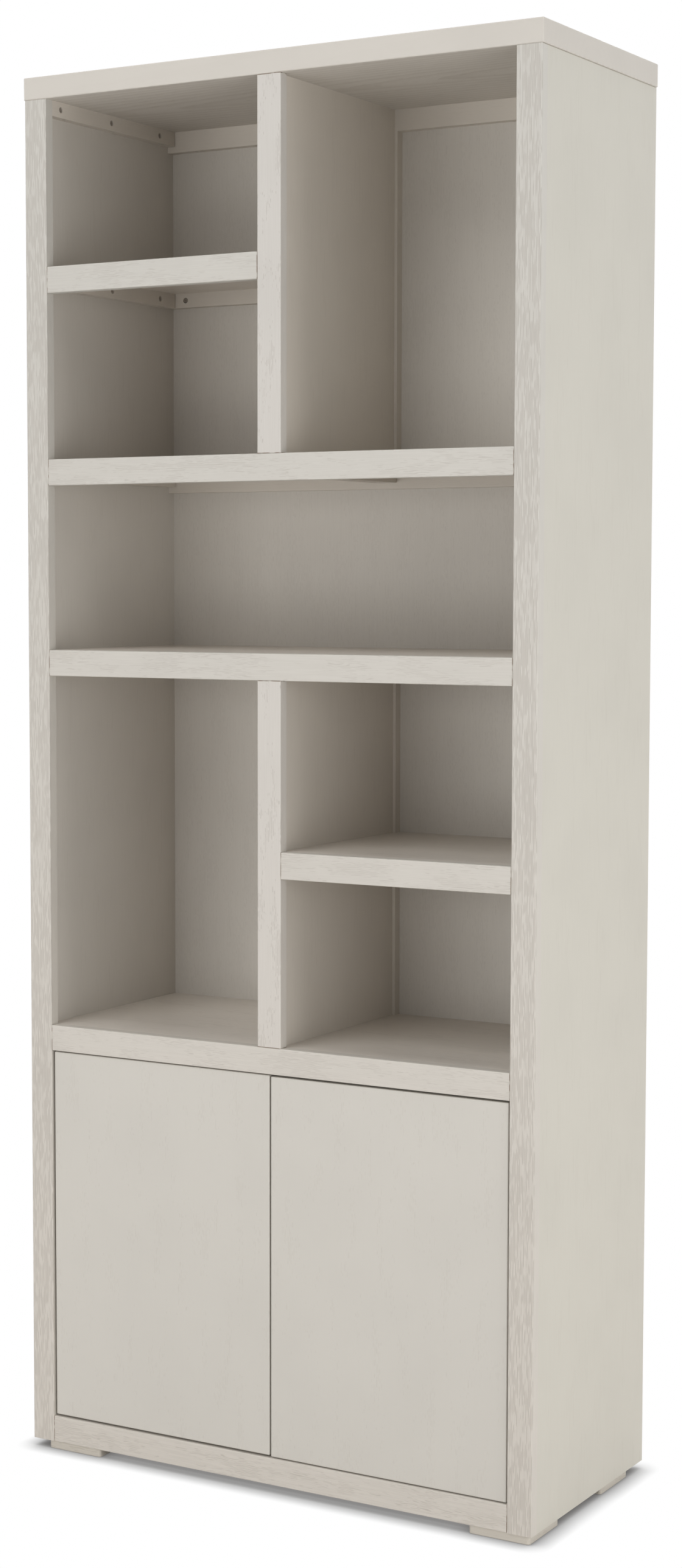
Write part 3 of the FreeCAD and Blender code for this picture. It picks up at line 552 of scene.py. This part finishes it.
def painted_wood(name, along, paint, pore, grain, pores=0.4, streaks=0.05, figure=0.0, face=None, joint=None,
                 heart=ROWS_ON_X, tilt=0.0, clouds=0.03, relief=0.4, roughness=0.5):
    """A wooden finish. grain holds inputs of the grain group, and face is the only face with open grain."""
    material = bpy.data.materials.new(name)
    material.use_nodes = True
    tree = material.node_tree
    tree.nodes.clear()
    vector, place = grain_vector(tree, along, heart, tilt)
    oak = add_node(tree, "ShaderNodeGroup", node_tree=OAK_GRAIN)
    feed(tree, vector, oak.inputs["Vector"])
    for socket, value in grain.items():
        oak.inputs[socket].default_value = value
    dashes = calculate(tree, "MULTIPLY", oak.outputs["Pores"], pores)
    lines = calculate(tree, "MULTIPLY", oak.outputs["Fibre"], streaks)
    rings = calculate(tree, "MULTIPLY", oak.outputs["Figure"], figure)
    marks = calculate(tree, "ADD", calculate(tree, "MAXIMUM", dashes, lines), rings, clamp=True)
    if face:
        marks = calculate(tree, "MULTIPLY", marks, on_face(tree, place, face))
    even = clouded(tree, place, paint_colour(tree, place, paint), clouds)
    colour = mixed_colour(tree, marks, even, pore)
    if joint:
        colour = with_joint(tree, colour, place, joint)
    height = calculate(tree, "SUBTRACT", 1.0, marks)
    bump = add_node(tree, "ShaderNodeBump", {"Height": height, "Strength": relief, "Distance": PORE_DEPTH})
    surface = add_node(tree, "ShaderNodeBsdfPrincipled", {
        "Base Color": colour, "Normal": bump.outputs["Normal"]})
    surface.inputs["Roughness"].default_value = roughness
    surface.inputs["Specular IOR Level"].default_value = PAINT_SPECULAR
    output = add_node(tree, "ShaderNodeOutputMaterial")
    tree.links.new(surface.outputs["BSDF"], output.inputs["Surface"])
    return material


def finish_nodes(material, names):
    """Gives CAD nodes a material in place of their plain one."""
    for name in names:
        mesh = nodes[name].data
        mesh.materials.clear()
        mesh.materials.append(material)


print("painted wood ready")

# %% [markdown]
# ## The solid edges
#
# Stiles, rails and dividers are solid oak with the most open grain. Their dashes follow the length of the
# piece: close together on the stiles, long and fine on the rails, sparse and in patches on the dividers.
# The bottom rail shows a little more of them than the shelf rails. One material could serve them all, but
# a rail or a divider gets its own, because the cracks at its joints lie at its own ends.

# %% Solid edges
FRONT = ("Y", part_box("left_stile")[0].y)
RAIL_FRONT = ("Y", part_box("middle_shelf_rail")[0].y)
# The first paint of each pair is at the floor and the second at the top. The first is lighter: painted light
# for the bounce from the floor.
EDGE_PAINT_AND_FLOOR_LIGHT = (srgb(208, 202, 193), srgb(200, 197, 190))
DIVIDER_PAINT_AND_FLOOR_LIGHT = (srgb(208, 202, 194), srgb(203, 199, 193))
EDGE_PORE = srgb(148, 139, 130)
STILE_GRAIN = {
    "Row Spacing": 0.002, "Pore Width": 0.001, "Pore Length": 0.03, "Porosity": 0.68, "Patchiness": 0.3,
    "Ripple": 0.002}
DIVIDER_GRAIN = {"Pore Length": 0.010, "Porosity": 0.20, "Patchiness": 1.5}
RAIL_GRAIN = {
    "Row Spacing": 0.0022, "Pore Width": 0.0009, "Pore Length": 0.02, "Porosity": 0.46, "Ripple": 0.007}
SHELF_RAIL_MARKS = {"pores": 0.29, "streaks": 0.08}
BOTTOM_RAIL_MARKS = {"pores": 0.36, "streaks": 0.12}


def ends(name, axis):
    """The axis and the two ends of a node along it."""
    low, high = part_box(name)
    return axis, getattr(low, axis.lower()), getattr(high, axis.lower())


stiles = ["left_stile", "right_stile"]
finish_nodes(painted_wood("edge_oak_upright", "Z", EDGE_PAINT_AND_FLOOR_LIGHT, EDGE_PORE, STILE_GRAIN, pores=0.50,
                          streaks=0.10, face=FRONT), stiles)
dividers = ["upper_divider_stile", "lower_divider_stile"]
for name in dividers:
    finish_nodes(painted_wood("edge_oak_" + name, "Z", DIVIDER_PAINT_AND_FLOOR_LIGHT, EDGE_PORE, DIVIDER_GRAIN, pores=0.34,
                              streaks=0.05, face=RAIL_FRONT, joint=ends(name, "Z")), [name])
rails = [name for name in nodes if name.endswith("_rail")]
for name in rails:
    marks = BOTTOM_RAIL_MARKS if name == "bottom_rail" else SHELF_RAIL_MARKS
    finish_nodes(painted_wood("edge_oak_" + name, "X", EDGE_PAINT_AND_FLOOR_LIGHT, EDGE_PORE, RAIL_GRAIN, face=RAIL_FRONT,
                              joint=ends(name, "X"), **marks), [name])
print("solid edges:", len(stiles) + len(dividers) + len(rails))

# %% [markdown]
# ## Upright panels and boards
#
# The panels are veneered and almost smooth under the paint, and the boards show faint streaks. A plain
# colour would be near, but beside the oak edges it would look like plastic. So they come from the same
# function, with fewer open pores and less relief. The panels differ a little in colour, and a loop gives
# each lot its own. The boards' paint is lighter than the panels': painted light for the light that falls on
# the shelf tops.

# %% Upright panels and boards
PANEL_PORE = srgb(165, 155, 143)
# The first paint is at the floor and lighter: painted light for the bounce from the floor.
SIDE_PAINT_AND_FLOOR_LIGHT = (srgb(206, 202, 191), srgb(202, 199, 189))
LEFT_PAINT = srgb(205, 200, 192)
PANEL_PAINT = srgb(207, 200, 190)
# Lighter than the panels' paint: painted light for the light on the shelf tops.
BOARD_PAINT_AND_LIGHT = srgb(221, 214, 205)
PANEL_GRAIN = {"Row Spacing": 0.004, "Pore Length": 0.05, "Porosity": 0.25}
BOARD_GRAIN = {"Pore Length": 0.020, "Porosity": 0.25}

uprights = {
    "side_oak": (SIDE_PAINT_AND_FLOOR_LIGHT, ["right_side_panel"]),
    "left_oak": (LEFT_PAINT, ["left_side_panel"]),
    "panel_oak": (PANEL_PAINT, ["upper_divider_panel", "lower_divider_panel"]),
}
for name, (paint, panels) in uprights.items():
    finish_nodes(painted_wood(name, "Z", paint, PANEL_PORE, PANEL_GRAIN, pores=0.14, streaks=0.03,
                              heart=ROWS_ON_Y, relief=0.1), panels)
boards = [name for name in nodes if name.endswith("_board")] + ["bottom_panel", "inner_shelf"]
finish_nodes(painted_wood("board_oak", "X", BOARD_PAINT_AND_LIGHT, PANEL_PORE, BOARD_GRAIN, pores=0.30, streaks=0.06,
                          heart=ROWS_ON_Y, relief=0.2, roughness=0.34), boards)
print("boards:", len(boards))

# %% [markdown]
# ## Top, back and doors
#
# The underside of the top has the wide figure of a board cut close to the heart. A drawn pattern could
# show it. Here the heart of the tree lies just below the board and a little tilted, so that the same rings
# run out in long curves. The back shows short faint dashes, and the doors are the smoothest.

# %% Top, back and doors
TOP_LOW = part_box("top_panel")[0].z
TOP_UNDERSIDE = ("Z", TOP_LOW)
HEART_BELOW = 0.06
HEART_ASIDE = 0.03
TOP_HEART = (HEART_BELOW - TOP_LOW, HEART_ASIDE, 0.0)
TOP_TILT = 0.07
TOP_PAINT = srgb(203, 198, 190)
TOP_GRAIN = {"Pore Length": 0.020, "Wander": 0.03}
BACK_PAINT = srgb(204, 199, 191)
BACK_PORE = srgb(140, 130, 120)
BACK_GRAIN = {"Pore Length": 0.010, "Porosity": 0.44, "Patchiness": 0.6}
DOOR_PAINT = srgb(204, 200, 192)
DOOR_GRAIN = {"Pore Length": 0.010, "Porosity": 0.16}

finish_nodes(painted_wood("top_oak", "X", TOP_PAINT, PANEL_PORE, TOP_GRAIN, pores=0.3, streaks=0.10,
                          figure=0.25, face=TOP_UNDERSIDE, heart=TOP_HEART, tilt=TOP_TILT, relief=0.2),
             ["top_panel"])
finish_nodes(painted_wood("back_ply", "Z", BACK_PAINT, BACK_PORE, BACK_GRAIN, pores=0.13, streaks=0.04,
                          relief=0.2), ["back_panel"])
doors = ["left_door", "right_door"]
finish_nodes(painted_wood("door_panel", "Z", DOOR_PAINT, PANEL_PORE, DOOR_GRAIN, pores=0.16, streaks=0.01,
                          clouds=0.025, relief=0.1), doors)
print("doors:", len(doors))

# %% [markdown]
# ## Cleats and feet
#
# The cleats, battens and feet are plain strips. A strip is sawn along the grain, so one finish for all of
# them would run across some. A loop makes one for each of the three directions. The feet have less paint
# on them. They are a little darker and warmer, and show more grain.

# %% Cleats and feet
STRIP_GRAIN = {"Pore Length": 0.020}
FOOT_PAINT = srgb(198, 192, 181)

strips = {
    "Y": [name for name in nodes if name.endswith(("_side_cleats", "_brace"))] + ["bottom_runners"],
    "X": [name for name in nodes if name.endswith("_rear_cleat")],
    "Z": ["upper_back_batten", "lower_back_batten", "hinge_blocks"],
}
for along, names in strips.items():
    finish_nodes(painted_wood("cleat_wood_" + along.lower(), along, PANEL_PAINT, PANEL_PORE, STRIP_GRAIN,
                              pores=0.1, streaks=0.03, relief=0.2), names)
feet = [name for name in nodes if name.endswith("_foot")]
finish_nodes(painted_wood("foot_wood", "X", FOOT_PAINT, PANEL_PORE, STRIP_GRAIN, pores=0.5,
                          streaks=0.14), feet)
print("strips:", sum(len(names) for names in strips.values()), "feet:", len(feet))

# %% [markdown]
# ## Hardware finishes
#
# The hinges and latches are seen when a door is open. The hinges are pressed from plated steel. A
# perfectly even metal looks like a mirror, so a fine rolled texture breaks up the reflection. The latches
# are plain plastic, for which one Principled BSDF is enough.

# %% Hardware finishes
ROLLED_SIZE = (0.0006, 0.0006, 0.009)
ROLLED_DETAIL = 2.0
ROLLED_EDGE = (0.3, 0.7)
ROLLED_SPREAD = (-0.04, 0.05)
ROLLED_RELIEF = 0.05
ROLLED_DEPTH = 0.0002


def plain_material(name, colour, roughness, metallic=0.0):
    """One even finish."""
    material = bpy.data.materials.new(name)
    material.use_nodes = True
    surface = material.node_tree.nodes["Principled BSDF"]
    surface.inputs["Base Color"].default_value = colour
    surface.inputs["Roughness"].default_value = roughness
    surface.inputs["Metallic"].default_value = metallic
    return material


def plated_steel(name, colour, roughness, metallic=1.0):
    """Plated sheet steel with a fine texture along Z, as the rolling leaves it."""
    material = plain_material(name, colour, roughness, metallic)
    tree = material.node_tree
    surface = tree.nodes["Principled BSDF"]
    place = add_node(tree, "ShaderNodeTexCoord").outputs["Object"]
    rolled = calculate_vector(tree, "DIVIDE", place, ROLLED_SIZE)
    noise = noise_at(tree, rolled, detail=ROLLED_DETAIL)["Fac"]
    smoothest, roughest = [roughness + change for change in ROLLED_SPREAD]
    feed(tree, stepped(tree, noise, *ROLLED_EDGE, smoothest, roughest), surface.inputs["Roughness"])
    bump = add_node(tree, "ShaderNodeBump", {
        "Height": noise, "Strength": ROLLED_RELIEF, "Distance": ROLLED_DEPTH})
    feed(tree, bump.outputs["Normal"], surface.inputs["Normal"])
    return material


hinge_steel = plated_steel("hinge_steel", srgb(206, 203, 198), 0.30)
pin_steel = plated_steel("pin_steel", srgb(188, 186, 182), 0.22)
screw_steel = plated_steel("screw_steel", srgb(158, 150, 141), 0.42, metallic=0.5)
latch_plastic = plain_material("latch_plastic", srgb(172, 170, 166), 0.42)
plunger_plastic = plain_material("plunger_plastic", srgb(226, 224, 219), 0.35)
finish_nodes(hinge_steel, ["left_hinge_arms", "right_hinge_arms", "left_hinge_cups", "right_hinge_cups"])
finish_nodes(pin_steel, ["left_hinge_pins", "right_hinge_pins", "shelf_pins"])
finish_nodes(latch_plastic, ["latch_housings"])
finish_nodes(plunger_plastic, ["left_latch_plunger", "right_latch_plunger"])
hardware = [hinge_steel, pin_steel, screw_steel, latch_plastic, plunger_plastic]
print("hardware finishes:", [material.name for material in hardware])

# %% [markdown]
# ## Where the screws are
#
# The CAD holds every screw as a separate shell of two nodes. A list of places typed in here would go wrong
# as soon as a size changes, so the places are read from the shells. A screw runs along one axis, and its
# head is the wide end. So each shell gives a place, a direction and a length, which become the points that
# Geometry Nodes work on. Shells come in no fixed order, so the screws are sorted by place: then the same
# screw gets the same random spin in every run.

# %% Screw points
Screw = namedtuple("Screw", "place aim reach radius")
SCREW_NODES = ("carcass_screws", "hardware_screws")
SAME_PLACE = 1e-5
MERGE_REACH = SAME_PLACE / 10


def shells(mesh):
    """The corner places of each separate shell of a mesh."""
    joined = bmesh.new()
    joined.from_mesh(mesh)
    bmesh.ops.remove_doubles(joined, verts=joined.verts, dist=MERGE_REACH)
    waiting = set(joined.verts)
    found = []
    while waiting:
        front = [waiting.pop()]
        shell = []
        while front:
            vertex = front.pop()
            shell.append(vertex.co.copy())
            near = {edge.other_vert(vertex) for edge in vertex.link_edges} & waiting
            waiting -= near
            front.extend(near)
        found.append(shell)
    joined.free()
    return found


def screw_of(shell):
    """The head's place, the direction that the head faces, the length and the head's radius."""
    low = Vector(min(corner[i] for corner in shell) for i in range(3))
    high = Vector(max(corner[i] for corner in shell) for i in range(3))
    size = high - low
    axis = max(range(3), key=lambda i: size[i])
    middle = (low + high) / 2
    at_high = [corner for corner in shell if abs(corner[axis] - high[axis]) < SAME_PLACE]
    wide = max((corner - at_high[0]).length for corner in at_high) > SAME_PLACE
    aim = Vector((0, 0, 0))
    aim[axis] = 1 if wide else -1
    radius = min(size) / 2
    return Screw(middle + aim * (size[axis] / 2), aim, size[axis], radius)


def in_order(screw):
    """A screw's place in whole steps, so that a tiny error can't change the order."""
    return [round(part / SAME_PLACE) for part in screw.place]


found = [screw_of(shell) for name in SCREW_NODES for shell in shells(nodes[name].data)]
screws = sorted(found, key=in_order)
HEAD_RADIUS = screws[0].radius
print("screws:", len(screws), "head radius:", round(HEAD_RADIUS, 4))

# %% [markdown]
# ## The screw head
#
# A screw head is a flat disc with a bevelled rim and a cross recess. A boolean could cut the cross, but it
# would leave long thin faces on every screw. One small mesh of joined loops stands for all heads. Twelve
# points make each loop, and the cross outline has twelve corners too, so plain quads join them.

# %% Screw head
HEAD_HEIGHT = 0.6 * HEAD_RADIUS
RIM_HEIGHT = 0.16 * HEAD_RADIUS
TOP_RADIUS = 0.84 * HEAD_RADIUS
CROSS_REACH = 0.52 * HEAD_RADIUS
CROSS_HALF = 0.14 * HEAD_RADIUS
CROSS_DEPTH = 0.38 * HEAD_RADIUS
CROSS_TAPER = 0.55
LOOP_POINTS = 12


def loop(shape, corners, height):
    """A ring of points at one height."""
    return [shape.verts.new((x, y, height)) for x, y in corners]


def joined_loops(shape, first, second):
    """A closed band of quads between two loops."""
    for i, j in zip(range(LOOP_POINTS), [*range(1, LOOP_POINTS), 0]):
        shape.faces.new((first[i], first[j], second[j], second[i]))


def disc(radius):
    """A circle whose first point lies half a step below the middle of the cross's right arm."""
    angles = [math.tau * (i - 0.5) / LOOP_POINTS for i in range(LOOP_POINTS)]
    return [(radius * math.cos(angle), radius * math.sin(angle)) for angle in angles]


def cross(scale):
    """A cross outline that starts at the lower corner of the right arm."""
    arm = [(CROSS_REACH, -CROSS_HALF), (CROSS_REACH, CROSS_HALF), (CROSS_HALF, CROSS_HALF)]
    turned = []
    for quarter in range(4):
        turn = Matrix.Rotation(quarter * math.pi / 2, 2)
        turned += [turn @ Vector(corner) * scale for corner in arm]
    return turned


def screw_head_mesh():
    """The head as five loops, from its underside over the rim and down into the cross."""
    shape = bmesh.new()
    under = loop(shape, disc(HEAD_RADIUS), -HEAD_HEIGHT)
    rim = loop(shape, disc(HEAD_RADIUS), -RIM_HEIGHT)
    top = loop(shape, disc(TOP_RADIUS), 0.0)
    edge = loop(shape, cross(1.0), 0.0)
    floor = loop(shape, cross(CROSS_TAPER), -CROSS_DEPTH)
    for first, second in ((under, rim), (rim, top), (top, edge), (edge, floor)):
        joined_loops(shape, first, second)
    shape.faces.new(floor)
    shape.faces.new(reversed(under))
    mesh = bpy.data.meshes.new("screw_head")
    shape.to_mesh(mesh)
    shape.free()
    return mesh


screw_head = bpy.data.objects.new("screw_head", screw_head_mesh())
print("faces of a screw head:", len(screw_head.data.polygons))

# %% [markdown]
# ## A tree that drives the screws
#
# Screws are many and alike, so copying them by hand would be slow and hard to change. A Geometry Nodes
# tree sets a head and a tapered shank on every point. The head turns to face the point's direction, and a
# seeded random spin keeps the crosses from lining up, as on screws driven by hand.

# %% Screw tree
SHANK_SIDES = 8
SHANK_SPAN = 1.05


def head_turns(tree, facing, seed):
    """Each head faces its direction, with a random spin. Random Value takes its largest number at input 3."""
    angle = add_node(tree, "FunctionNodeRandomValue", data_type="FLOAT")
    feed(tree, seed, angle.inputs["Seed"])
    feed(tree, math.tau, angle.inputs[3])
    spin = add_node(tree, "FunctionNodeAxisAngleToRotation", {"Axis": (0, 0, 1), "Angle": angle.outputs[1]})
    spun = add_node(tree, "FunctionNodeRotateRotation", {
        "Rotation": facing, "Rotate By": spin.outputs["Rotation"]}, rotation_space="LOCAL")
    return spun.outputs["Rotation"]


def unit_shank(tree, given):
    """A tapered shank of length 1, from a little below the face of the head downward."""
    cone = add_node(tree, "GeometryNodeMeshCone", {
        "Vertices": SHANK_SIDES, "Radius Top": given["Tip Radius"], "Radius Bottom": given["Shank Radius"],
        "Depth": 1.0})
    down = add_node(tree, "GeometryNodeTransform", {
        "Geometry": cone.outputs["Mesh"], "Scale": (1, 1, -1), "Translation": (0, 0, 1 - SHANK_SPAN)})
    outward = add_node(tree, "GeometryNodeFlipFaces", {"Mesh": down.outputs["Geometry"]})
    return outward.outputs["Mesh"]


def screw_tree():
    """Points in, screws out, with named inputs for the sizes, the seed and the finish."""
    tree = bpy.data.node_groups.new("screws_on_points", "GeometryNodeTree")
    sockets = {
        "Points": "NodeSocketGeometry", "Head": "NodeSocketObject", "Shank Radius": "NodeSocketFloat",
        "Tip Radius": "NodeSocketFloat", "Seed": "NodeSocketInt", "Finish": "NodeSocketMaterial"}
    for name, kind in sockets.items():
        tree.interface.new_socket(name, in_out="INPUT", socket_type=kind)
    tree.interface.new_socket("Screws", in_out="OUTPUT", socket_type="NodeSocketGeometry")
    given = tree.nodes.new("NodeGroupInput").outputs
    aim = add_node(tree, "GeometryNodeInputNamedAttribute", {"Name": "aim"}, data_type="FLOAT_VECTOR")
    reach = add_node(tree, "GeometryNodeInputNamedAttribute", {"Name": "reach"}, data_type="FLOAT")
    aligned = add_node(tree, "FunctionNodeAlignRotationToVector", {
        "Vector": aim.outputs["Attribute"]}, axis="Z")
    facing = aligned.outputs["Rotation"]
    shape = add_node(tree, "GeometryNodeObjectInfo", {"Object": given["Head"]})
    heads = add_node(tree, "GeometryNodeInstanceOnPoints", {
        "Points": given["Points"], "Instance": shape.outputs["Geometry"],
        "Rotation": head_turns(tree, facing, given["Seed"])})
    stretch = add_node(tree, "ShaderNodeCombineXYZ", {"X": 1.0, "Y": 1.0, "Z": reach.outputs["Attribute"]})
    shanks = add_node(tree, "GeometryNodeInstanceOnPoints", {
        "Points": given["Points"], "Instance": unit_shank(tree, given), "Rotation": facing,
        "Scale": stretch.outputs["Vector"]})
    both = add_node(tree, "GeometryNodeJoinGeometry")
    tree.links.new(heads.outputs["Instances"], both.inputs["Geometry"])
    tree.links.new(shanks.outputs["Instances"], both.inputs["Geometry"])
    real = add_node(tree, "GeometryNodeRealizeInstances", {"Geometry": both.outputs["Geometry"]})
    painted = add_node(tree, "GeometryNodeSetMaterial", {
        "Geometry": real.outputs["Geometry"], "Material": given["Finish"]})
    leaving = tree.nodes.new("NodeGroupOutput")
    tree.links.new(painted.outputs["Geometry"], leaving.inputs["Screws"])
    return tree


SCREW_TREE = screw_tree()
print("tree:", SCREW_TREE.name, "nodes:", len(SCREW_TREE.nodes))

# %% [markdown]
# ## The set of screws
#
# The screws sit in the fixed case. They could stay points with a live tree, but the export drops
# instances. So the tree makes them real, and its result becomes one plain mesh. It rides with the case and
# stands for the two CAD nodes.

# %% Screw set
SCREW_SEED = 7
SHANK_RADIUS = HEAD_RADIUS / 2
TIP_RADIUS = HEAD_RADIUS / 8


def screw_points():
    """The points with their directions and lengths. An attribute is filled before the next one is made."""
    mesh = bpy.data.meshes.new("screw_points")
    mesh.from_pydata([screw.place for screw in screws], [], [])
    aims = mesh.attributes.new("aim", "FLOAT_VECTOR", "POINT")
    aims.data.foreach_set("vector", [part for screw in screws for part in screw.aim])
    reaches = mesh.attributes.new("reach", "FLOAT", "POINT")
    reaches.data.foreach_set("value", [screw.reach / SHANK_SPAN for screw in screws])
    points = bpy.data.objects.new("screw_points", mesh)
    scene.collection.objects.link(points)
    return points


def set_inputs(modifier, values):
    """Sets inputs by their identifiers, which the tree's interface gives for each name."""
    for item in modifier.node_group.interface.items_tree:
        if item.in_out == "INPUT" and item.name in values:
            modifier[item.identifier] = values[item.name]


points = screw_points()
modifier = points.modifiers.new("screws", "NODES")
modifier.node_group = SCREW_TREE
set_inputs(modifier, {
    "Head": screw_head, "Shank Radius": SHANK_RADIUS, "Tip Radius": TIP_RADIUS, "Seed": SCREW_SEED,
    "Finish": screw_steel})
evaluated = points.evaluated_get(bpy.context.evaluated_depsgraph_get())
screw_set = bpy.data.objects.new("screw_set", bpy.data.meshes.new_from_object(evaluated))
points.modifiers.remove(modifier)
bpy.data.objects.remove(points)
bpy.data.objects.remove(screw_head)
scene.collection.objects.link(screw_set)
screw_set.data.materials.clear()
screw_set.data.materials.append(screw_steel)
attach(screw_set, "carcass")
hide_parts(*SCREW_NODES)
print("screw faces:", len(screw_set.data.polygons))
